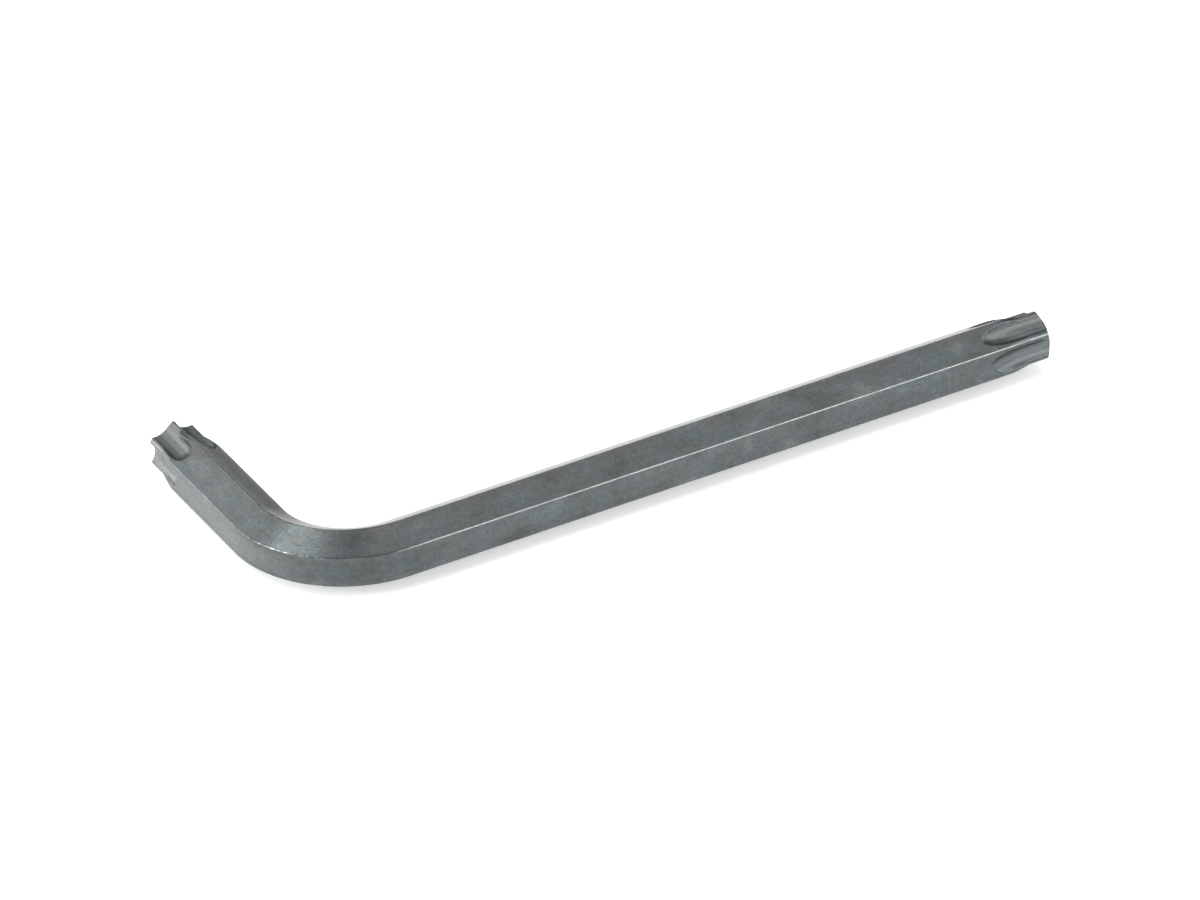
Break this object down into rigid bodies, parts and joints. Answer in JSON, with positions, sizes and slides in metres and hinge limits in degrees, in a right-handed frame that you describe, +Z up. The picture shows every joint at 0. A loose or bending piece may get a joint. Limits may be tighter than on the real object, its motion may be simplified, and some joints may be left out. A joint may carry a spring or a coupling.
{
  "type": "star key",
  "caption": "L-shaped key bent from a hexagonal steel bar, with a six-lobed star formed on the end of each arm, for turning screws with a star socket.",
  "frame": {"origin": "on the surface that the key lies on, under the middle of its outline", "axes": "+X along the long arm towards its tip, +Y along the short arm towards its tip, +Z up, square to the plane of the bend"},
  "size_m": [0.0776, 0.0286, 0.0057],
  "materials": {
    "burnished_steel": "satin, burnished grey with a slight green and brown cast"
  },
  "bodies": {
    "root": {"long_arm": "burnished_steel", "bend": "burnished_steel", "short_arm": "burnished_steel", "long_star_tip": "burnished_steel", "short_star_tip": "burnished_steel"}
  },
  "joints": []
}
